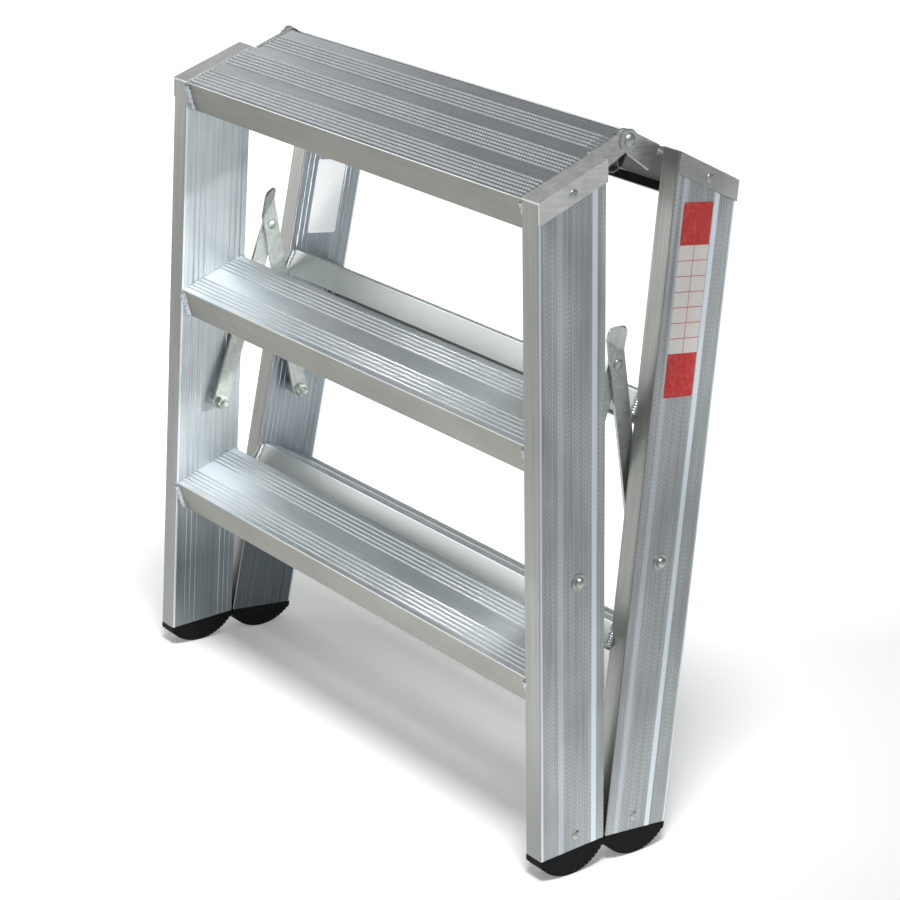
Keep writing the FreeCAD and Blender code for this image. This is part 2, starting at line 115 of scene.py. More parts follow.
# %% [markdown]
# A few helpers do all node work. Colours are given as the hex values that a colour picker shows, and the first
# turns them to the linear values that the shader wants. The second adds a node, sets it, links it and hands back
# its output. The others build on it: places, grain of a real size, and coats of colour laid over each other.

# %% Node helpers
def linear(code):
    """An sRGB hex colour as linear RGBA."""
    channels = [int(code[k:k + 2], 16) / 255 for k in (0, 2, 4)]
    return tuple(c / 12.92 if c <= 0.04045 else ((c + 0.055) / 1.055) ** 2.4 for c in channels) + (1.0,)


def add(tree, kind, inputs=None, **settings):
    """Add a node and return its first live output. Each input gets a plain value, or a link from an output."""
    node = tree.nodes.new(kind)
    for name, value in settings.items():
        setattr(node, name, value)
    for name, value in (inputs or {}).items():
        if isinstance(value, bpy.types.NodeSocket):
            tree.links.new(value, node.inputs[name])
        else:
            node.inputs[name].default_value = value
    return next((output for output in node.outputs if output.enabled), node)


def blank_material(name):
    """An empty material, its node tree, and the piece's own coordinates."""
    material = bpy.data.materials.new(name)
    material.use_nodes = True
    tree = material.node_tree
    tree.nodes.clear()
    return material, tree, add(tree, "ShaderNodeTexCoord").node.outputs["Object"]


def finished(material, surface):
    """End a material: a shader with these values on its sockets, led to the output."""
    shader = add(material.node_tree, "ShaderNodeBsdfPrincipled", surface)
    add(material.node_tree, "ShaderNodeOutputMaterial", {"Surface": shader})
    return material


def turned_to(tree, place, matrix):
    """Coordinates as the piece's own frame sees them, in metres."""
    home = matrix.inverted()
    inputs = {"Vector": place, "Location": home.translation, "Rotation": home.to_euler("XYZ")}
    return add(tree, "ShaderNodeMapping", inputs)


def stretched(tree, place, *sizes):
    """Scale coordinates so that one unit is this many millimetres along each axis."""
    scale = tuple(1 / (size * MM) for size in sizes)
    return add(tree, "ShaderNodeVectorMath", {0: place, 1: scale}, operation="MULTIPLY")


def grain(tree, place, detail, *sizes):
    """Noise whose grains are this many millimetres along each axis."""
    inputs = {"Vector": stretched(tree, place, *sizes), "Scale": 1.0, "Detail": detail}
    return add(tree, "ShaderNodeTexNoise", inputs)


def painted(tree, base, *coats):
    """Lay coats of colour over a base, each by its own mask from 0 to 1."""
    for mask, coat in coats:
        base, coat = (linear(colour) if isinstance(colour, str) else colour for colour in (base, coat))
        base = add(tree, "ShaderNodeMix", {"Factor": mask, "A": base, "B": coat}, data_type="RGBA")
    return base


print("a mid grey is", [round(c, 3) for c in linear("808080")[:3]])

# %% [markdown]
# ## Mill-finish aluminium of the stiles
# A stile is pressed hot through a die and left as it comes out. The die draws fine lines along the whole
# length, so the metal looks streaky one way and even the other. A noise stretched along the stile gives that:
# it drives the tone, the roughness and a faint bump. Slow clouds of oxide and handling break it up.
# The outer face is fluted and knurled: short light dashes run down the flutes, whose base is painted darker as
# shade in the grooves. The plain bands and the corners carry a painted highlight, a pale blue reflection. The
# narrow faces are painted darker as shade, the inner faces of the rear stiles darker than the front ones as shade,
# and the inner and narrow faces darker towards the floor as shade.

# %% Stile metal
streak_width, streak_length = 0.9, 160.0
cloud_size = 45.0
tone_range = {"From Min": 0.3, "From Max": 0.7}      # the part of a noise that is used
flute_margin, flute_pitch = 6.0, 3.4
dash_pitch, dash_length, dash_width = 4.6, 2.4, 1.3
plain_bands = {"front": (67.5, 25.5), "rear": (25.5, 67.5)}     # the bright one first
corner_line, band_half_width, faint_share = 2.2, 2.9, 0.35
# Painted highlight: a pale blue reflection painted on the plain bands and along the corners.
painted_highlight = "e4f0f7"
stile_rough = {"To Min": 0.46, "To Max": 0.30}
# Painted shade: the inner and narrow faces are painted darker towards the floor, between these heights.
foot_shade_top, foot_shade_bottom = -400.0, -560.0
# The rear stiles' inner tones are darker than the front ones: painted shade.
inside_tones = {"front": ("9aa3a8", "e6ecef"), "rear": ("7c868c", "b7bfc4")}
# Painted shade: the darker inner tones used towards the floor.
foot_shade_tones = {"front": ("71797e", "9aa2a6"), "rear": ("50585d", "7a8287")}


def within(tree, value, centre, half, soft):
    """1 within half of a centre, fading to 0 over soft. Millimetres."""
    gap = add(tree, "ShaderNodeMath", {0: value, 1: -centre * MM})
    gap = add(tree, "ShaderNodeMath", {0: gap}, operation="ABSOLUTE")
    limits = {"From Min": half * MM, "From Max": (half + soft) * MM, "To Min": 1.0, "To Max": 0.0}
    return add(tree, "ShaderNodeMapRange", {"Value": gap, **limits})


def knurl(tree, across, along):
    """Dashes down the middle of each flute, each flute with its own start."""
    shifted = add(tree, "ShaderNodeMath", {0: across, 1: -flute_margin * MM})
    count = add(tree, "ShaderNodeMath", {0: shifted, 1: flute_pitch * MM}, operation="DIVIDE")
    count = add(tree, "ShaderNodeMath", {0: count}, operation="ROUND")
    chance = add(tree, "ShaderNodeTexWhiteNoise", {"W": count}, noise_dimensions="1D")
    own_start = {0: chance, 1: dash_pitch * MM, 2: along}
    start = add(tree, "ShaderNodeMath", own_start, operation="MULTIPLY_ADD")
    beat = add(tree, "ShaderNodeMath", {0: start, 1: dash_pitch / 2 * MM}, operation="PINGPONG")
    aside = add(tree, "ShaderNodeMath", {0: shifted, 1: flute_pitch / 2 * MM}, operation="PINGPONG")
    lit = within(tree, beat, 0.0, dash_length / 2 - 0.3, 0.6)
    inside = within(tree, aside, 0.0, dash_width / 2 - 0.2, 0.4)
    return add(tree, "ShaderNodeMath", {0: lit, 1: inside}, operation="MULTIPLY")


def stile_metal(name, place):
    # Extruded aluminium, mill finish: satin, streaky along the length, slightly blue.
    material, tree, here = blank_material(name)
    end = name.split()[-1].split("_")[0]
    on_stile = turned_to(tree, here, place)
    streaks = grain(tree, on_stile, 3.0, streak_width, streak_width, streak_length)
    bands = grain(tree, on_stile, 2.0, 5 * streak_width, 5 * streak_width, 2 * streak_length)
    clouds = grain(tree, on_stile, 3.0, cloud_size, cloud_size, 2 * cloud_size)
    both = add(tree, "ShaderNodeMix", {"Factor": 0.4, "A": streaks, "B": bands})
    mixed = add(tree, "ShaderNodeMix", {"Factor": 0.3, "A": both, "B": clouds})
    tone = add(tree, "ShaderNodeMapRange", {"Value": mixed, **tone_range})

    out, across, along = add(tree, "ShaderNodeSeparateXYZ", {"Vector": on_stile}).node.outputs
    outer = within(tree, out, 0.0, stile_thickness / 4, 1.0)
    # Painted shade: the mask that darkens the faces towards the floor.
    foot_shade = add(tree, "ShaderNodeMapRange", {
        "Value": along, "From Min": foot_shade_top * MM, "From Max": foot_shade_bottom * MM})
    bright = painted(tree, inside_tones[end][0], (tone, inside_tones[end][1]))
    foot_shaded = painted(tree, foot_shade_tones[end][0], (tone, foot_shade_tones[end][1]))

    strength = add(tree, "ShaderNodeMapRange", {
        "Value": clouds, "From Min": 0.35, "From Max": 0.65, "To Min": 0.15, "To Max": 0.6})
    dashes = add(tree, "ShaderNodeMath", {0: knurl(tree, across, along), 1: strength}, operation="MULTIPLY")
    # Painted highlight on the plain bands, full on one and faint on the other.
    main_band, faint_band = plain_bands[end]
    main = within(tree, across, main_band, band_half_width, 0.5)
    faint = within(tree, across, faint_band, band_half_width, 0.5)
    faint = add(tree, "ShaderNodeMath", {0: faint, 1: faint_share}, operation="MULTIPLY")
    band_highlight = add(tree, "ShaderNodeMath", {0: main, 1: faint}, operation="MAXIMUM")
    # The flutes' base tones are darker than the inner faces': painted shade in the grooves.
    fluted = painted(tree, "91969a", (tone, "c9cdcf"), (dashes, "d9dee0"), (band_highlight, painted_highlight))
    # Painted highlight along the corners of the stile.
    corner = within(tree, across, corner_line / 2 + 0.4, corner_line / 2, 0.5)
    face = painted(tree, bright, (foot_shade, foot_shaded), (outer, fluted), (corner, painted_highlight))
    # Painted shade: the narrow faces are painted darker than the broad ones, and darker still towards the floor.
    narrow = painted(tree, "90918d", (tone, "b6b7b3"), (foot_shade, "979997"))
    middle = within(tree, across, stile_depth / 2, stile_depth / 2 - 1.2, 0.9)
    colour = painted(tree, narrow, (middle, face))

    rough = add(tree, "ShaderNodeMapRange", {"Value": tone, **stile_rough})
    lines = add(tree, "ShaderNodeBump", {"Height": streaks, "Strength": 0.25, "Distance": 0.05 * MM})
    return finished(material, {"Base Color": colour, "Metallic": 1.0, "Roughness": rough, "Normal": lines})


stile_metals = {name: stile_metal("Mill aluminium of " + name, place) for name, place in stiles.items()}
print("stile finishes:", len(stile_metals))

# %% [markdown]
# ## Mill-finish aluminium of the treads
# The treads are extruded too, so their lines run across the ladder. The plain bands of the top are smooth and
# a little darker than the ribs, the steps are worn matter than the platform, and the flanges are matter still.
# Shade is painted too: the front flanges are a darker, warmer grey, the rib flanks darker, and the hidden
# flanges darker near the platform's ends. All treads of a frame lie one step apart, so the depth below the
# crest plane, taken over and over at that spacing, tells the parts of each.

# %% Tread metal
tread_spacing = step_pitch * cos_rake
crest_offset = 1.0          # moves the crest plane off the place where the count starts again
crest_tolerance = 0.25
# Painted shade: the platform's hidden flanges are painted darker over this length from its ends.
end_shade_length = 40.0             # how far the platform's flanges are dark from its ends
platform_rough, step_rough, flange_rough, flank_rougher = 0.24, 0.36, 0.5, 0.2


def tread_metal(name, place):
    # Extruded aluminium, mill finish: satin, with long fine lines, and a darker grey painted on the flanges as
    # shade.
    material, tree, here = blank_material(name)
    on_tread = turned_to(tree, here, place)
    streaks = grain(tree, on_tread, 3.0, streak_length, streak_width, streak_width)
    clouds = grain(tree, on_tread, 3.0, 2 * cloud_size, cloud_size, cloud_size)
    mixed = add(tree, "ShaderNodeMix", {"Factor": 0.45, "A": streaks, "B": clouds})
    tone = add(tree, "ShaderNodeMapRange", {"Value": mixed, **tone_range})

    sideways, inward, height = add(tree, "ShaderNodeSeparateXYZ", {"Vector": on_tread}).node.outputs
    depth = add(tree, "ShaderNodeMath", {0: crest_offset * MM, 1: height}, operation="SUBTRACT")
    number = add(tree, "ShaderNodeMath", {0: depth, 1: tread_spacing * MM}, operation="DIVIDE")
    number = add(tree, "ShaderNodeMath", {0: number}, operation="FLOOR")
    from_front = add(tree, "ShaderNodeMath", {0: number, 1: step_pitch * sin_rake * MM, 2: inward},
                     operation="MULTIPLY_ADD")
    at_front = add(tree, "ShaderNodeMapRange", {"Value": from_front, "From Min": 6.0 * MM, "From Max": 2.5 * MM})
    depth = add(tree, "ShaderNodeMath", {0: depth, 1: tread_spacing * MM}, operation="FLOORED_MODULO")
    crest_end = (crest_offset + crest_tolerance) * MM
    crest = add(tree, "ShaderNodeMath", {0: depth, 1: crest_end}, operation="LESS_THAN")
    flange = add(tree, "ShaderNodeMapRange", {"Value": depth, "From Min": 2.0 * MM, "From Max": 3.5 * MM})
    front_flange = add(tree, "ShaderNodeMath", {0: flange, 1: at_front}, operation="MULTIPLY")
    # Painted shade: the flanks of the ribs are painted darker; the lighter crests are wear.
    flank = within(tree, depth, crest_offset + rib_height / 2, rib_height / 2 - 0.2, 0.1)

    wear_and_flank_shade = painted(tree, "c4cacd", (tone, "e6eaec"), (crest, "dfe4e6"), (flank, "b0b5b7"))
    # Painted shade: the front flanges are a darker, warmer grey than the top.
    side = painted(tree, "93938d", (tone, "a8a8a2"))
    # Painted shade at the platform's ends, on its hidden flanges.
    middle = within(tree, sideways, 0.0, top_width / 2 - end_shade_length, 2.0)
    middle = add(tree, "ShaderNodeMath", {0: middle, 1: number}, operation="MAXIMUM")
    hidden_flange_shaded = painted(tree, "7c7f7d", (middle, "d0d4d2"))
    colour = painted(tree, wear_and_flank_shade, (flange, hidden_flange_shaded), (front_flange, side))
    top_rough = add(tree, "ShaderNodeMapRange", {"Value": number, "To Min": platform_rough, "To Max": step_rough})
    rough = add(tree, "ShaderNodeMapRange", {"Value": flange, "To Min": top_rough, "To Max": flange_rough})
    rough = add(tree, "ShaderNodeMath", {0: flank, 1: flank_rougher, 2: rough}, operation="MULTIPLY_ADD")
    lines = add(tree, "ShaderNodeBump", {"Height": streaks, "Strength": 0.2, "Distance": 0.05 * MM})
    return finished(material, {"Base Color": colour, "Metallic": 1.0, "Roughness": rough, "Normal": lines})


tread_metals = {end: tread_metal(f"Mill aluminium of the {end} treads", half_turn @ tread_place(0))
                for end, half_turn in ends.items()}
print("tread finishes:", sorted(tread_metals))

# %% [markdown]
# ## Smaller finishes
# The caps and hinge lugs are cut from rolled sheet, with short cross lines from the rollers. Links, bolts and
# rivets are zinc-plated steel: cool, slightly green, with faint patches where the plating grew at another rate.
# The weld metal froze in ripples and stays bright and grainy. The feet are moulded rubber with a fine pebble.

# %% Sheet, zinc, weld metal and rubber
def grained_metal(name, dark, light, grain_sizes, patch, roughness, bump):
    """A metal whose tone changes over patches and whose surface is a little grainy. Sizes in millimetres."""
    material, tree, here = blank_material(name)
    grains = grain(tree, here, 3.0, *grain_sizes)
    patches = grain(tree, here, 2.0, patch, patch, patch)
    mixed = add(tree, "ShaderNodeMix", {"Factor": 0.5, "A": grains, "B": patches})
    tone = add(tree, "ShaderNodeMapRange", {"Value": mixed, "From Min": 0.35, "From Max": 0.65})
    colour = painted(tree, dark, (tone, light))
    rough = add(tree, "ShaderNodeMapRange",
                {"Value": grains, "To Min": roughness[0], "To Max": roughness[1]})
    relief = add(tree, "ShaderNodeBump", {"Height": grains, "Strength": 0.4, "Distance": bump * MM})
    return finished(material, {"Base Color": colour, "Metallic": 1.0, "Roughness": rough, "Normal": relief})


rolled_grain, pressed_grain = (3.0, 30.0, 3.0), (2.0, 18.0, 2.0)
# Rolled aluminium sheet: even satin grey.
sheet_metal = grained_metal("Rolled aluminium sheet", "cdd1ce", "ebeeeb", rolled_grain, 25.0, (0.36, 0.5), 0.03)
# The same sheet on the rear caps, painted darker as shade and a little rougher.
shaded_sheet = grained_metal("Shaded aluminium sheet", "a8aba9", "c4c7c5", rolled_grain, 25.0, (0.4, 0.54), 0.03)
# Pressed hinge plate: rolled aluminium that was bent and welded, dull and scratched.
plate_metal = grained_metal("Pressed aluminium plate", "aeb1af", "d2d5d3", pressed_grain, 12.0, (0.34, 0.5), 0.03)
# Bright zinc plating on steel: smooth, a little green, with faint patches.
zinc = grained_metal("Zinc-plated steel", "aeb4b0", "ccd2cd", (4.0, 4.0, 4.0), 9.0, (0.34, 0.44), 0.02)
# Aluminium weld metal: bright, frozen in fine grain.
weld_metal = grained_metal("Aluminium weld metal", "969ca0", "e2e7ea", (0.9, 0.9, 0.9), 3.0, (0.24, 0.5), 0.15)
# Aluminium teeth, polished by shoes on their tops.
tooth_metal = grained_metal("Worn aluminium teeth", "cbd0d2", "e6eaec", (1.2, 1.2, 1.2), 20.0, (0.3, 0.48), 0.03)


def pebbled_rubber():
    # Moulded black rubber: matt, with a fine pebble and a dusty bloom.
    material, tree, here = blank_material("Moulded black rubber")
    fine = stretched(tree, here, 1.1, 1.1, 1.1)
    pebble = add(tree, "ShaderNodeTexVoronoi", {"Vector": fine, "Scale": 1.0})
    dust = grain(tree, here, 4.0, 14.0, 14.0, 14.0)
    dusty = add(tree, "ShaderNodeMapRange", {"Value": dust, "From Min": 0.45, "From Max": 0.75})
    colour = painted(tree, "050607", (dusty, "0e1013"))
    relief = add(tree, "ShaderNodeBump", {"Height": pebble, "Strength": 0.6, "Distance": 0.2 * MM})
    return finished(material, {"Base Color": colour, "Roughness": 0.62, "Specular IOR Level": 0.16,
                               "Normal": relief})


rubber = pebbled_rubber()
print("materials:", len(bpy.data.materials))

# %% [markdown]
# ## Eased edges
# A real extrusion, sheet or forging has no knife edge: each corner has a small round that catches a line of
# light. The CAD nodes can't be changed, so each is copied, its loose triangles are merged into clean faces, and
# a Bevel modifier rounds the corners. The copy then replaces the node. Rounding in the solids would cost many
# faces in the collision and CAD model, and wouldn't be seen there.

# %% Eased copies of the nodes
def fresh():
    """Back to object mode with nothing selected, so that an operator acts only on what is chosen next."""
    if bpy.context.mode != "OBJECT":
        bpy.ops.object.mode_set(mode="OBJECT")
    bpy.ops.object.select_all(action="DESELECT")


def choose(piece):
    fresh()
    piece.select_set(True)
    bpy.context.view_layer.objects.active = piece


def edit_all():
    """Edit mode, with all of the chosen piece selected."""
    bpy.ops.object.mode_set(mode="EDIT")
    bpy.ops.mesh.select_all(action="SELECT")


def smoothed(piece, angle=35.0):
    """Smooth shading over soft corners, with normals that keep the flats flat."""
    choose(piece)
    bpy.ops.object.shade_smooth_by_angle(angle=math.radians(angle))
    weighted = piece.modifiers.new("Flat faces first", "WEIGHTED_NORMAL")
    weighted.keep_sharp = True
    bpy.ops.object.modifier_apply(modifier=weighted.name)


def dressed(piece, body, material, slot, *nodes):
    """Give a piece its finish, let it ride on its body, and let it stand for the CAD nodes."""
    piece.data.materials.clear()
    piece.data.materials.append(material)
    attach(piece, body)
    if nodes:
        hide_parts(*nodes)
    return piece


def eased(node, finish, slot, width, segments=2, limit=24.0):
    """A copy of a CAD node with rounded corners, dressed in its stead."""
    piece = bpy.data.objects.new(node + "_eased", frame["nodes"][node].data.copy())
    bpy.context.scene.collection.objects.link(piece)
    choose(piece)
    edit_all()
    bpy.ops.mesh.remove_doubles(threshold=0.001 * MM)
    bpy.ops.mesh.dissolve_limited(angle_limit=math.radians(0.5))
    bpy.ops.object.mode_set(mode="OBJECT")
    bevel = piece.modifiers.new("Eased corners", "BEVEL")
    bevel.width = width * MM
    bevel.segments = segments
    bevel.limit_method = "ANGLE"
    bevel.angle_limit = math.radians(limit)
    bpy.ops.object.modifier_apply(modifier=bevel.name)
    smoothed(piece)
    dressed(piece, body_of[node], finish, slot, node)


body_of = {node: body for body, nodes in frame["record"]["behaviour"]["bodies"].items() for node in nodes}
cap_metals = {"front": sheet_metal, "rear": shaded_sheet}
for node, metal in stile_metals.items():
    eased(node, metal, "mill_aluminium", 0.16, 1, 18.0)
for end in ends:
    for tread in ("platform", "middle_step", "bottom_step"):
        eased(f"{end}_{tread}", tread_metals[end], "mill_aluminium", 0.18, 1)
    for side in ("left", "right"):
        eased(f"{end}_cap_{side}", cap_metals[end], "mill_aluminium", 0.5)
        eased(f"{end}_hinge_lug_{side}", plate_metal, "mill_aluminium", 0.5)
        eased(f"{end}_foot_{side}", rubber, "black_rubber", 0.7)
        eased(f"{end}_link_{side}", zinc, "zinc_steel", 0.5)
    eased(end + "_pivot_bushes", zinc, "zinc_steel", 0.3, 2, 40.0)

# %% [markdown]
# ## Turned fasteners
# Bolts, rivets and washers are turned or headed, so each is a stack of rings about one axis. One could draw a
# profile and spin it. Here a circle is extruded and resized ring by ring, which makes the closed shape at once.
# Each is modelled once at the origin, along Z, and then copied to its places.

# %% Helpers for turned pieces
along_x = turn(90, "Y")
round_sides = 48


def turned(name, rings, hollow=False, sides=round_sides):
    """Extrude a circle through (height, radius) rings, in millimetres. A hollow one ends where it starts."""
    fresh()
    height, radius = rings[0]
    fill = "NOTHING" if hollow else "NGON"
    bpy.ops.mesh.primitive_circle_add(vertices=sides, radius=radius * MM, fill_type=fill, location=(0, 0, 0))
    piece = bpy.context.object
    piece.name = name
    edit_all()
    bpy.ops.transform.translate(value=(0, 0, height * MM))
    for next_height, next_radius in rings[1:]:
        rise = (next_height - height) * MM
        bpy.ops.mesh.extrude_region_move(TRANSFORM_OT_translate={"value": (0, 0, rise)})
        grow = next_radius / radius
        bpy.ops.transform.resize(value=(grow, grow, 1), center_override=(0, 0, next_height * MM))
        height, radius = next_height, next_radius
    bpy.ops.mesh.select_all(action="SELECT")
    bpy.ops.mesh.remove_doubles(threshold=0.001 * MM)
    bpy.ops.mesh.normals_make_consistent(inside=False)
    smoothed(piece)
    return piece


def dome(base, radius, height, crown=0.12, slopes=7):
    """Rings of a low dome, from its rim to a small flat crown."""
    last = math.acos(crown)
    angles = [last * k / slopes for k in range(slopes + 1)]
    return [(base + height * math.sin(a) / math.sin(last), radius * math.cos(a)) for a in angles]


def joined(name, pieces):
    """Join pieces as one, under this name."""
    choose(pieces[0])
    for piece in pieces[1:]:
        piece.select_set(True)
    if len(pieces) > 1:
        bpy.ops.object.join()
    pieces[0].name = name
    return pieces[0]


def copied(pattern, name, places):
    """Copies of a pattern, each with its own mesh, set at their places and joined as one piece."""
    made = []
    for place in places:
        piece = pattern.copy()
        piece.data = pattern.data.copy()
        bpy.context.scene.collection.objects.link(piece)
        piece.matrix_world = place
        made.append(piece)
    fresh()
    for piece in made:
        piece.select_set(True)
    bpy.context.view_layer.objects.active = made[0]
    bpy.ops.object.transform_apply()
    return joined(name, made)


def discard(*patterns):
    for pattern in patterns:
        bpy.data.objects.remove(pattern)


def fastener(pattern, node, places):
    """Copies of a pattern that stand for a CAD node, zinc-plated."""
    piece = copied(pattern, node + "_turned", places)
    return dressed(piece, body_of[node], zinc, "zinc_steel", node)


def cut(piece, tool, operation):
    """Apply a Boolean with a tool, and throw the tool away."""
    choose(piece)
    boolean = piece.modifiers.new(operation.title(), "BOOLEAN")
    boolean.operation = operation
    boolean.object = tool
    bpy.ops.object.modifier_apply(modifier=boolean.name)
    discard(tool)


print("turned pieces have", round_sides, "sides")

# %% [markdown]
# A blind rivet is pulled from outside: its dome has a small crater with the broken pin in it. There is one on
# each cap and one on each foot, set square to the leaning outer face.

# %% Blind rivets
cap_thickness, cap_rivet_in, cap_rivet_drop = 2.2, 40.0, 11.0
foot_rivet_in, foot_rivet_rise = 45.0, 14.0
rivet_shank, rivet_head, rivet_head_height, rivet_grip = 2.4, 4.75, 1.5, 4.0
crater, crater_depth, pin = 1.45, 0.9, 1.15

tail = -(stile_wall + rivet_grip)
rivet_rings = [(tail, 2.0), (tail + 0.4, rivet_shank), (0.0, rivet_shank), (0.0, rivet_head - 0.15)]
rivet_rings += dome(0.15, rivet_head, rivet_head_height - 0.15, crown=0.42)
rivet_rings += [(rivet_head_height - 0.05, crater), (rivet_head_height - crater_depth, crater - 0.1),
                (rivet_head_height - crater_depth, pin), (rivet_head_height - 0.4, pin - 0.15),
                (rivet_head_height - 0.25, 0.4)]
rivet = turned("rivet_pattern", rivet_rings)

cap_rivet_z = -(cap_rivet_drop - cap_rivet_in * sin_rake) / cos_rake / cos_taper
foot_rivet_z = (foot_rivet_rise - stile_length) / cos_taper
cap_spot = right_stile @ shift(cap_thickness, cap_rivet_in, cap_rivet_z) @ along_x
foot_spot = right_stile @ shift(0, foot_rivet_in, foot_rivet_z) @ along_x
for end in ends:
    for kind, spot in (("cap", cap_spot), ("foot", foot_spot)):
        pair = fastener(rivet, f"{end}_{kind}_rivets", both_sides(end, spot))
discard(rivet)
print("rivet faces:", len(pair.data.polygons))

# %% [markdown]
# The hinge bolt has a broad flange with a dome on it outside, and a peened end inside that keeps it in the eye.

# %% Hinge bolts
lug_thickness, lug_gap = 4.0, 0.3
hinge_shank, hinge_flange, hinge_flange_height = 4.0, 10.5, 1.8
hinge_dome, hinge_dome_height, hinge_peen, hinge_peen_height = 6.5, 4.5, 6.2, 3.5
hinge_seat = inner_top - stile_depth * sin_rake / cos_rake * tan_taper
peen_seat = hinge_seat - 2 * lug_thickness - 2 * lug_gap

peen_end, flange_face = peen_seat - hinge_peen_height, hinge_seat + hinge_flange_height
bolt_rings = [(peen_end, 2.2), (peen_end + 0.3, 4.4), (peen_end + 1.2, 5.8), (peen_seat - 0.6, hinge_peen),
              (peen_seat, hinge_peen - 0.2), (peen_seat, hinge_shank), (hinge_seat, hinge_shank),
              (hinge_seat, hinge_flange - 0.3), (hinge_seat + 0.3, hinge_flange),
              (flange_face - 0.6, hinge_flange), (flange_face, hinge_flange - 0.8),
              (flange_face, hinge_dome + 0.6)]
bolt_rings += dome(flange_face + 0.3, hinge_dome, hinge_dome_height - 0.3)
hinge_pattern = turned("hinge_pattern", bolt_rings)
for end, half_turn in ends.items():
    fastener(hinge_pattern, end + "_hinge_bolt", [half_turn @ shift(0, 0, hinge_height) @ along_x])
discard(hinge_pattern)
print("hinge bolt from", round(bolt_rings[0][0], 2), "to", round(bolt_rings[-1][0], 2))

# %% [markdown]
# Each spreader link turns on a bolt through its stile: a domed head on a washer outside, and a nut inside with
# some thread standing out. The thread is a stack of rings, at the true pitch of the bolt.
# The nut is a hexagon cut to a chamfered drum, which gives the curved corners that real nuts have.

# %% Spreader bolts, washers and nuts
pivot_in, pivot_down, pivot_shank = 48.0, 366.0, 4.0
pivot_head, pivot_head_height, washer, washer_thickness = 5.2, 4.4, 8.2, 1.6
nut_across_flats, nut_height, thread_end = 13.0, 6.5, 4.0
link_thickness, side_play = 3.0, 0.1
thread_pitch, thread_depth = 1.25, 0.55

link_faces = {"right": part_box("front_link_right")[1].x / MM, "left": -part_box("front_link_left")[0].x / MM}
head_spot = right_stile @ shift(0, pivot_in, -pivot_down / cos_taper) @ along_x
axis_spot = shift(*((fold @ rake @ Vector((0, pivot_in * MM, -pivot_down * MM))) / MM)) @ along_x
face_outside = top_width / 2 + pivot_down * tan_taper

head_rings = [(washer_thickness, pivot_head - 0.2), (washer_thickness + 0.2, pivot_head)]
head_rings += dome(washer_thickness + 0.7, pivot_head, pivot_head_height - 0.7)
head = turned("head_pattern", head_rings)
hole = pivot_shank + 0.25
washer_rings = [(0, hole), (0, washer - 0.2), (0.2, washer), (washer_thickness - 0.35, washer),
                (washer_thickness, washer - 0.45), (washer_thickness, hole), (0, hole)]
plate = turned("washer_pattern", washer_rings, hollow=True)


def threaded_shank(link_face):
    """A shank from the head to a short run of thread inside the link."""
    tip = link_face - link_thickness - 2 * side_play - nut_height - thread_end
    thread_start = tip + nut_height + thread_end
    rings = [(tip, pivot_shank - 1.2), (tip + 0.7, pivot_shank - thread_depth)]
    height = tip + 0.7
    while height + thread_pitch < thread_start:
        rings += [(height + 0.45 * thread_pitch, pivot_shank), (height + 0.55 * thread_pitch, pivot_shank),
                  (height + thread_pitch, pivot_shank - thread_depth)]
        height += thread_pitch
    rings += [(height + 0.5, pivot_shank), (face_outside + washer_thickness, pivot_shank)]
    return turned("shank_pattern", rings, sides=32)


def chamfered_nut():
    """A hexagon, cut to a drum with chamfered ends and bored through."""
    fresh()
    bpy.ops.mesh.primitive_cylinder_add(vertices=6, radius=nut_across_flats / math.sqrt(3) * MM,
                                        depth=nut_height * MM, location=(0, 0, -nut_height / 2 * MM))
    nut = bpy.context.object
    bpy.ops.object.transform_apply()
    flat = nut_across_flats / 2
    corner = nut_across_flats / math.sqrt(3) + 0.1
    ends_in = (corner - flat) * math.tan(math.radians(30))
    drum = turned("drum_pattern", [(-nut_height, flat - 0.2), (ends_in - nut_height, corner),
                                   (-ends_in, corner), (0, flat - 0.2)])
    bore = turned("bore_pattern", [(-nut_height - 1, pivot_shank), (1, pivot_shank)], sides=32)
    cut(nut, drum, "INTERSECT")
    cut(nut, bore, "DIFFERENCE")
    nut.name = "nut_pattern"
    smoothed(nut, 25.0)
    return nut


nut = chamfered_nut()
shanks = {side: threaded_shank(face) for side, face in link_faces.items()}
nut_spots = {side: axis_spot @ shift(0, 0, face - link_thickness - side_play) for side, face in link_faces.items()}
for end, half_turn in ends.items():
    fastener(plate, end + "_pivot_washers", both_sides(end, head_spot))
    fastener(nut, end + "_pivot_nuts", [half_turn @ nut_spots["right"], half_turn @ other_side(nut_spots["left"])])
    node = end + "_pivot_bolts"
    heads = copied(head, node + "_turned", both_sides(end, head_spot))
    right = copied(shanks["right"], "shank_right", [half_turn @ axis_spot])
    left = copied(shanks["left"], "shank_left", [half_turn @ other_side(axis_spot)])
    bolts = joined(node + "_turned", [heads, right, left])
    dressed(bolts, body_of[node], zinc, "zinc_steel", node)
discard(nut, head, plate, *shanks.values())
print("link faces:", {side: round(face, 2) for side, face in link_faces.items()})

# %% [markdown]
# At the elbow the two links share a rivet. Each link keeps its own half of it, a shank and a low dome.

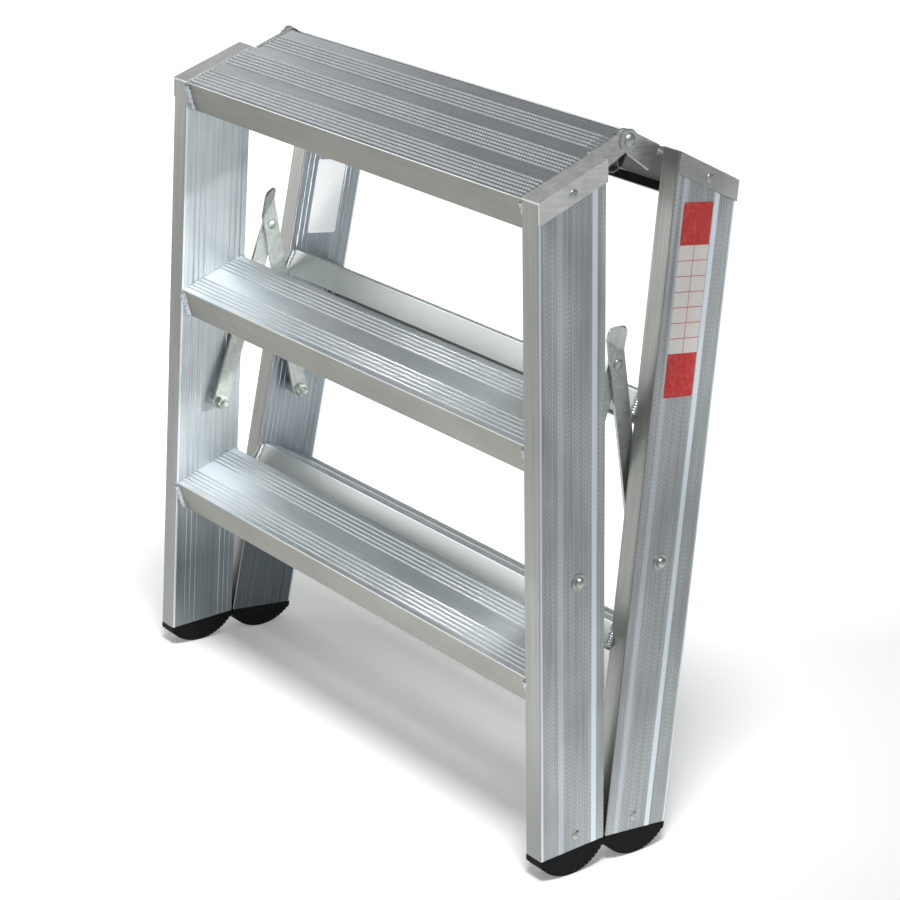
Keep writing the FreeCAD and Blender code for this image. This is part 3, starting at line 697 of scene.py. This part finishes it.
# %% Elbow rivets
elbow_shank, elbow_head, elbow_head_height = 3.0, 5.2, 2.2
elbow_rings = [(-link_thickness, elbow_shank), (0, elbow_shank), (0, elbow_head - 0.2)]
elbow_rings += dome(0.3, elbow_head, elbow_head_height - 0.3)
elbow = turned("elbow_pattern", elbow_rings)
for end in ends:
    for side in ("left", "right"):
        node = f"{end}_elbow_rivet_{side}"
        low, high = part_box(node)
        middle = (low + high) / 2 / MM
        outward, face = (1, high.x) if end == "rear" else (-1, low.x)
        seat = face / MM - outward * elbow_head_height
        spot = shift(seat, middle.y, middle.z) @ turn(90 * outward, "Y")
        fastener(elbow, node, [spot])
discard(elbow)
print("elbow at height", round(middle.z, 1))

# %% [markdown]
# ## Serrated soles
# The sole of each foot is moulded with fine cross grooves, which show as a serrated edge. They could be drawn in
# the solids, but such fine texture costs many faces there. Here one thin bar is modelled, copied round the
# centre of the sole's arc and cut out of each foot. The grooves are drawn coarser than real ones, so that they
# show.

# %% Serrated soles
foot_edge, foot_sagitta = 6.0, 20.0
groove_pitch, groove_width, groove_depth, groove_length, groove_count = 5.0, 1.2, 1.7, 60.0, 18
sole_radius = ((stile_depth / 2) ** 2 + foot_sagitta ** 2) / (2 * foot_sagitta)
sole_centre = sole_radius - stile_length - foot_edge - foot_sagitta
foot_middle = inner_top + stile_thickness / 2 + stile_length * tan_taper


def bar(size, middle=(0, 0, 0)):
    """A block of this size about its middle, in millimetres."""
    fresh()
    bpy.ops.mesh.primitive_cube_add(size=1, location=Vector(middle) * MM)
    piece = bpy.context.object
    piece.scale = Vector(size) * MM
    bpy.ops.object.transform_apply()
    return piece


groove = bar((groove_length, groove_width, 2 * groove_depth), (0, 0, -sole_radius))
groove_step = math.degrees(groove_pitch / sole_radius)
sole = fold @ rake @ shift(foot_middle, stile_depth / 2, sole_centre)
spots = [sole @ turn((k - (groove_count - 1) / 2) * groove_step, "X") for k in range(groove_count)]
for end, half_turn in ends.items():
    for side, places in zip(near_and_far[end], (spots, [other_side(spot) for spot in spots])):
        slots = copied(groove, "groove_slots", [half_turn @ spot for spot in places])
        foot = bpy.data.objects[f"{end}_foot_{side}_eased"]
        cut(foot, slots, "DIFFERENCE")
        smoothed(foot)
        print(foot.name, "faces:", len(foot.data.polygons))
discard(groove)

# %% [markdown]
# ## Teeth on the ribs
# The crest of each rib is rolled with short teeth, so that a shoe grips. In the picture they are rows of light
# dashes. A texture could fake them, but they are real shape: one low tooth is tapered from a cube and two Array
# modifiers repeat it, along the rib and from rib to rib.

# %% Rib teeth
tooth_pitch, tooth_length, tooth_width, tooth_height = 3.6, 2.2, 1.5, 0.2
tooth_taper = (0.85, 0.8)
platform_rib_margin, platform_rib_counts, platform_plain_band = 3.0, (6, 6, 5), 17.0
step_rib_margin, step_rib_count = 6.0, 5
end_margin, lug_margin = 2.0, 10.5


def rib_group_depth(count):
    return (count - 1) * rib_pitch + rib_foot


def inner_half_width(number, depth):
    """Half the clear width between the stiles on a tread's crest plane."""
    back = step_setback if number else 0.0
    rise = (depth + back - number * step_pitch * sin_rake) * sin_rake - number * step_pitch * cos_rake * cos_rake
    return inner_top - rise * tan_taper


def tooth_group(start, count, half_width):
    """Teeth on a group of ribs, in the tread's own frame."""
    along = int(2 * half_width / tooth_pitch)
    first = (-(along - 1) * tooth_pitch / 2, start + rib_foot / 2, tooth_height / 2)
    group = bar((tooth_length, tooth_width, tooth_height), first)
    bpy.ops.object.mode_set(mode="EDIT")
    bpy.ops.mesh.select_mode(type="FACE")
    bpy.ops.mesh.select_all(action="DESELECT")
    bpy.ops.object.mode_set(mode="OBJECT")
    for face in group.data.polygons:
        face.select = face.normal.z > 0.9
    bpy.ops.object.mode_set(mode="EDIT")
    top = (first[0] * MM, first[1] * MM, tooth_height * MM)
    bpy.ops.transform.resize(value=(*tooth_taper, 1), center_override=top)
    bpy.ops.object.mode_set(mode="OBJECT")
    for name, number, step in (("Along the rib", along, (tooth_pitch, 0, 0)),
                               ("Rib to rib", count, (0, rib_pitch, 0))):
        repeat = group.modifiers.new(name, "ARRAY")
        repeat.count = number
        repeat.use_relative_offset = False
        repeat.use_constant_offset = True
        repeat.constant_offset_displace = Vector(step) * MM
        bpy.ops.object.modifier_apply(modifier=repeat.name)
    return group


def tread_groups(number):
    if number == 0:
        starts = [platform_rib_margin]
        for count in platform_rib_counts[:-1]:
            starts.append(starts[-1] + rib_group_depth(count) + platform_plain_band)
        margins = (end_margin, end_margin, lug_margin)
        counts = platform_rib_counts
    else:
        starts = [step_rib_margin, step_depth - step_rib_margin - rib_group_depth(step_rib_count)]
        margins = (end_margin, end_margin)
        counts = (step_rib_count, step_rib_count)
    return [(start, count, inner_half_width(number, start + rib_group_depth(count)) - margin)
            for start, count, margin in zip(starts, counts, margins)]


for number, tread in enumerate(("platform", "middle_step", "bottom_step")):
    pattern = joined("teeth_pattern", [tooth_group(*group) for group in tread_groups(number)])
    for end, half_turn in ends.items():
        teeth = copied(pattern, f"{end}_{tread}_teeth", [half_turn @ tread_place(number)])
        dressed(teeth, end + "_frame", tooth_metal, "mill_aluminium")
    print(tread, "tooth faces:", len(pattern.data.polygons))
    discard(pattern)

# %% [markdown]
# ## Weld beads
# Each tread is welded to its stiles down the ends of its flanges. A bead freezes in ripples, one behind the
# other. A tube whose rings swell and shrink gives them, with its ends drawn in, and it is set in the corner
# between flange and stile.

# %% Weld beads
bead_radius, ripple_pitch, ripple_depth = 4.2, 2.6, 0.4
bead_start, bead_end, back_bead = 1.0, -2.0, 25.0


def corner_point(number, depth, height):
    """Where a tread meets the right stile, in the folded frame."""
    back = step_setback if number else 0.0
    y = depth + back - number * step_pitch * sin_rake
    z = height - number * step_pitch * cos_rake
    x = inner_top - (y * sin_rake + z * cos_rake) * tan_taper
    return fold @ (Vector((x, y - stile_front, z + hinge_drop)) * MM)


def bead(length):
    """A rippled tube along Z, in millimetres."""
    rings = [(0.0, 0.5 * bead_radius), (0.6, 0.85 * bead_radius)]
    height = 0.6
    while height + ripple_pitch < length:
        rings += [(height + 0.35 * ripple_pitch, bead_radius), (height + 0.8 * ripple_pitch, 0.96 * bead_radius),
                  (height + ripple_pitch, bead_radius - ripple_depth)]
        height += ripple_pitch
    rings += [(height + 0.8, 0.5 * bead_radius)]
    return turned("bead_pattern", rings, sides=20)


def bead_place(low, high):
    up = (high - low).normalized()
    across = Vector((1, 0, 0)) - up * up.x
    across.normalize()
    place = Matrix((across, up.cross(across), up)).transposed().to_4x4()
    place.translation = low
    return place


seams = []
for number, depth, foot in ((0, 0.0, flange_height), (1, 0.0, flange_height), (2, 0.0, flange_height),
                            (1, step_depth, back_bead), (2, step_depth, back_bead)):
    seams.append((corner_point(number, depth, bead_start - foot), corner_point(number, depth, bead_end)))
for end in ends:
    made = []
    for low, high in seams:
        pattern = bead((high - low).length / MM)
        made.append(copied(pattern, "bead", both_sides(end, bead_place(low, high))))
        discard(pattern)
    dressed(joined(end + "_weld_beads", made), end + "_frame", weld_metal, "mill_aluminium")
print("welded seams on each frame:", 2 * len(seams))

# %% [markdown]
# ## Black lip strips
# A black rubber strip is pressed on the lip under each platform's outer flange. It is a bar with rounded
# corners: a cube stretched to size and beveled.

# %% Black lip strips
flange_lip = 9.0
strip_height, strip_thickness, strip_end, strip_round = 9.0, 2.0, 4.0, 0.6
strip_half = inner_half_width(0, flange_lip) - strip_end
strip = bar((2 * strip_half, strip_thickness, strip_height))
edit_all()
bpy.ops.mesh.bevel(offset=strip_round * MM, segments=3, affect="EDGES")
bpy.ops.object.mode_set(mode="OBJECT")
smoothed(strip)
middle = shift(0, flange_lip + strip_thickness / 2 - 0.02, -flange_height + strip_height / 2 + 0.2)
for end, half_turn in ends.items():
    piece = copied(strip, end + "_black_lip_strip", [half_turn @ tread_place(0) @ middle])
    dressed(piece, end + "_frame", rubber, "black_rubber")
discard(strip)
print("black lip strips:", round(2 * strip_half, 1), "mm long")

# %% [markdown]
# ## Stickers
# There are two film stickers: bands of plain colour on an outer face, and a white one on an inner face. Each is
# a thin plate with rounded corners, so that it has an edge. The colour comes from its own height.

# %% Stickers
film_thickness, film_corner, film_lift, grid_line = 0.16, 2.0, 0.02, 0.25
grid_top, grid_bottom, grid_rows, grid_column = 60.0, 163.0, 7, 49.0


def film(name, place, across, down, out):
    """A thin plate on a stile: (from, to) millimetres across from the front edge and down from the top."""
    width, height = across[1] - across[0], down[1] - down[0]
    fresh()
    bpy.ops.mesh.primitive_plane_add(size=1, location=(0, 0, 0))
    piece = bpy.context.object
    piece.name = name
    piece.scale = Vector((width, height, 1)) * MM
    bpy.ops.object.transform_apply()
    edit_all()
    bpy.ops.mesh.bevel(offset=film_corner * MM, offset_type="OFFSET", segments=5, affect="VERTICES")
    bpy.ops.mesh.select_all(action="SELECT")
    bpy.ops.mesh.extrude_region_move(TRANSFORM_OT_translate={"value": (0, 0, film_thickness * MM)})
    bpy.ops.mesh.select_all(action="SELECT")
    bpy.ops.mesh.normals_make_consistent(inside=False)
    middle = shift(out - film_lift, sum(across) / 2, -sum(down) / 2)
    bpy.ops.object.mode_set(mode="OBJECT")
    piece.matrix_world = place @ middle @ turn(-90, "Y") @ turn(90, "Z")
    bpy.ops.object.transform_apply()
    smoothed(piece)
    return piece


def film_print(name, place, bands, grid=None):
    # Printed polyester film: glossy, with a slightly uneven print and scuffs. Bands are (start, colour) from the
    # top down, and a grid of blank boxes is (top, row height, column line, colour).
    material, tree, here = blank_material(name)
    on_stile = turned_to(tree, here, place)
    across, height = list(add(tree, "ShaderNodeSeparateXYZ", {"Vector": on_stile}).node.outputs)[1:]
    scuffs = grain(tree, on_stile, 5.0, 6.0, 6.0, 6.0)
    colour = bands[0][1]
    for start, shade in bands[1:]:
        if grid and start == grid[0]:
            top, row, column, ink = grid
            down = add(tree, "ShaderNodeMath", {0: height, 1: top * MM})
            row_gap = add(tree, "ShaderNodeMath", {0: down, 1: row / 2 * MM}, operation="PINGPONG")
            rows = within(tree, row_gap, 0.0, grid_line, 0.3)
            columns = within(tree, across, column, grid_line, 0.3)
            lines = add(tree, "ShaderNodeMath", {0: rows, 1: columns}, operation="MAXIMUM")
            shade = painted(tree, shade, (lines, ink))
        below = add(tree, "ShaderNodeMath", {0: height, 1: -start * MM}, operation="LESS_THAN")
        colour = painted(tree, colour, (below, shade))
    limits = {"From Min": 0.45, "From Max": 0.8, "To Max": 0.12}
    faded = add(tree, "ShaderNodeMapRange", {"Value": scuffs, **limits})
    colour = painted(tree, colour, (faded, "cfcfcc"))
    rough = add(tree, "ShaderNodeMapRange", {"Value": scuffs, "To Min": 0.25, "To Max": 0.45})
    return finished(material, {"Base Color": colour, "Roughness": rough})


outer_place, inner_place = stiles["rear_stile_right"], stiles["rear_stile_left"]
banded = film("rear_sticker_banded", outer_place, (30.0, 68.0), (20.0, 205.0), 0.0)
bands = film_print("Banded polyester film", outer_place,
                   [(0.0, "b81f1a"), (grid_top, "d2cecb"), (grid_bottom, "b81f1a")],
                   grid=(grid_top, (grid_bottom - grid_top) / grid_rows, grid_column, "b4524c"))
dressed(banded, "rear_frame", bands, "mill_aluminium")
white = film("rear_sticker_white", inner_place, (23.0, 61.0), (101.0, 185.0), -stile_thickness)
dressed(white, "rear_frame", film_print("White polyester film", inner_place, [(0.0, "f8fafb")]), "mill_aluminium")
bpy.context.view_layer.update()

# %% [markdown]
# ## Stage
# The ladder stands on plain pale paper that glows a little behind it, as a lit studio sweep does. The camera
# sits where the picture was taken from. A wide spot above on the right is the key light, and low soft boxes on
# the left fill the fronts. Narrow accents and two small lamps whiten the inner faces of the left stiles. The sky
# is dim, so that the platform keeps its slate grey.

# %% Camera
azimuth, elevation, roll = 48.973, 19.149, 4.753
camera_spot = Vector((1.8168, -1.5351, 1.1518))
a, e, r = (math.radians(x) for x in (azimuth, elevation, roll))
back = Vector((math.sin(a) * math.cos(e), -math.cos(a) * math.cos(e), math.sin(e)))
level = Vector((math.cos(a), math.sin(a), 0))
above = back.cross(level)
right = level * math.cos(r) + above * math.sin(r)
up = above * math.cos(r) - level * math.sin(r)
bpy.ops.object.camera_add()
camera = bpy.context.object
camera.matrix_world = Matrix((right, up, back)).transposed().to_4x4()
camera.location = camera_spot
camera.data.lens = 97.9
camera.data.sensor_width = 36.0
bpy.context.scene.camera = camera
bpy.context.scene.view_settings.view_transform = "Standard"

# %% Floor
# The glow, in metres: a strip behind the ladder that widens, the paper on the right, and all that is far away.
lit_width, lit_spread, lit_fade = 0.55, 0.25, 1.5
lit_start, lit_full, lit_glow = 0.1, 1.2, 0.9
right_start, right_full, near_glow, right_glow = 0.55, 0.8, 0.2, 0.26
far_start, far_full, far_glow = 2.2, 3.6, 0.7


def white_paper():
    # Matt white paper: nearly even, with a faint cloud.
    material, tree, here = blank_material("Matt white paper")
    cloud = grain(tree, here, 2.0, 900.0, 900.0, 900.0)
    colour = painted(tree, "f1f1f0", (cloud, "f6f6f5"))
    behind = add(tree, "ShaderNodeVectorMath", {0: here, 1: level.cross((0, 0, 1)) * -1},
                 operation="DOT_PRODUCT")
    right_of = add(tree, "ShaderNodeVectorMath", {0: here, 1: level}, operation="DOT_PRODUCT")
    aside = add(tree, "ShaderNodeMath", {0: right_of}, operation="ABSOLUTE")
    width = add(tree, "ShaderNodeMath", {0: behind, 1: lit_spread, 2: lit_width}, operation="MULTIPLY_ADD")
    share = add(tree, "ShaderNodeMath", {0: aside, 1: width}, operation="DIVIDE")
    inside = add(tree, "ShaderNodeMapRange", {
        "Value": share, "From Min": 1.0, "From Max": lit_fade, "To Min": 1.0, "To Max": 0.0})
    deep = add(tree, "ShaderNodeMapRange", {
        "Value": behind, "From Min": lit_start, "From Max": lit_full, "To Min": 0.0, "To Max": lit_glow})
    glow = add(tree, "ShaderNodeMath", {0: inside, 1: deep}, operation="MULTIPLY")
    beside = add(tree, "ShaderNodeMapRange", {
        "Value": right_of, "From Min": right_start, "From Max": right_full,
        "To Min": near_glow, "To Max": right_glow})
    glow = add(tree, "ShaderNodeMath", {0: glow, 1: beside}, operation="MAXIMUM")
    away = add(tree, "ShaderNodeVectorMath", {0: here}, operation="LENGTH")
    far = add(tree, "ShaderNodeMapRange", {
        "Value": away, "From Min": far_start, "From Max": far_full, "To Max": far_glow})
    glow = add(tree, "ShaderNodeMath", {0: glow, 1: far}, operation="MAXIMUM")
    return finished(material, {"Base Color": colour, "Roughness": 0.9, "Specular IOR Level": 0.1,
                               "Emission Color": linear("ffffff"), "Emission Strength": glow})


fresh()
bpy.ops.mesh.primitive_plane_add(size=24.0, location=(0.0, 0.0, 0.0))
floor = bpy.context.object
floor.name = "paper_floor"
floor.data.materials.append(white_paper())

# %% Lights
ladder_middle = Vector((0.0, 0.0, 0.35))
light_distance, box_size = 4.0, 2.2


def aimed(light, name, power, aim):
    light.name = name
    light.data.energy = power
    light.rotation_euler = (Vector(aim) - light.location).to_track_quat("-Z", "Y").to_euler()
    return light


def soft_box(name, azimuth, elevation, power):
    """A round soft box that looks at the ladder. Azimuth 0 is in front, 90 on the right."""
    a, e = math.radians(azimuth), math.radians(elevation)
    away = Vector((math.sin(a) * math.cos(e), -math.cos(a) * math.cos(e), math.sin(e)))
    bpy.ops.object.light_add(type="AREA", location=ladder_middle + away * light_distance)
    light = aimed(bpy.context.object, name, power, ladder_middle)
    light.data.shape = "DISK"
    light.data.size = box_size


def spot_light(name, place, aim, power, cone, edge, softness):
    """A spot light: its cone in degrees, how much of its edge fades, and its radius in metres."""
    bpy.ops.object.light_add(type="SPOT", location=place)
    light = aimed(bpy.context.object, name, power, aim)
    light.data.spot_size = math.radians(cone)
    light.data.spot_blend = edge
    light.data.shadow_soft_size = softness
    return light


key_place = ladder_middle + Vector((1.24, -1.24, 3.6))
spot_light("key_spot", key_place, ladder_middle, power=590.0, cone=29.0, edge=0.5, softness=0.6)
soft_box("low_box_front_left", azimuth=315, elevation=12, power=31.0)
soft_box("low_box_left", azimuth=250, elevation=20, power=9.0)

accent_place = (2.3, 1.5, 1.15)
for name, aim, cone in (("accent_upper", (-0.26, -0.09, 0.46), 3.0), ("accent_lower", (-0.28, -0.12, 0.27), 4.6)):
    spot_light(name, accent_place, aim, power=1100.0, cone=cone, edge=1.0, softness=0.1)
for name, place, aim in (("small_lamp_upper", (0.22, -0.05, 0.62), (-0.27, -0.1, 0.48)),
                         ("small_lamp_lower", (0.26, -0.07, 0.33), (-0.27, -0.13, 0.22))):
    lamp = spot_light(name, place, aim, power=2.4, cone=150.0, edge=0.4, softness=0.02)
    lamp.visible_camera = False

world = bpy.data.worlds.new("Dim studio")
world.use_nodes = True
bpy.context.scene.world = world
background = world.node_tree.nodes["Background"]
background.inputs["Color"].default_value = linear("fbfdff")
background.inputs["Strength"].default_value = 0.24
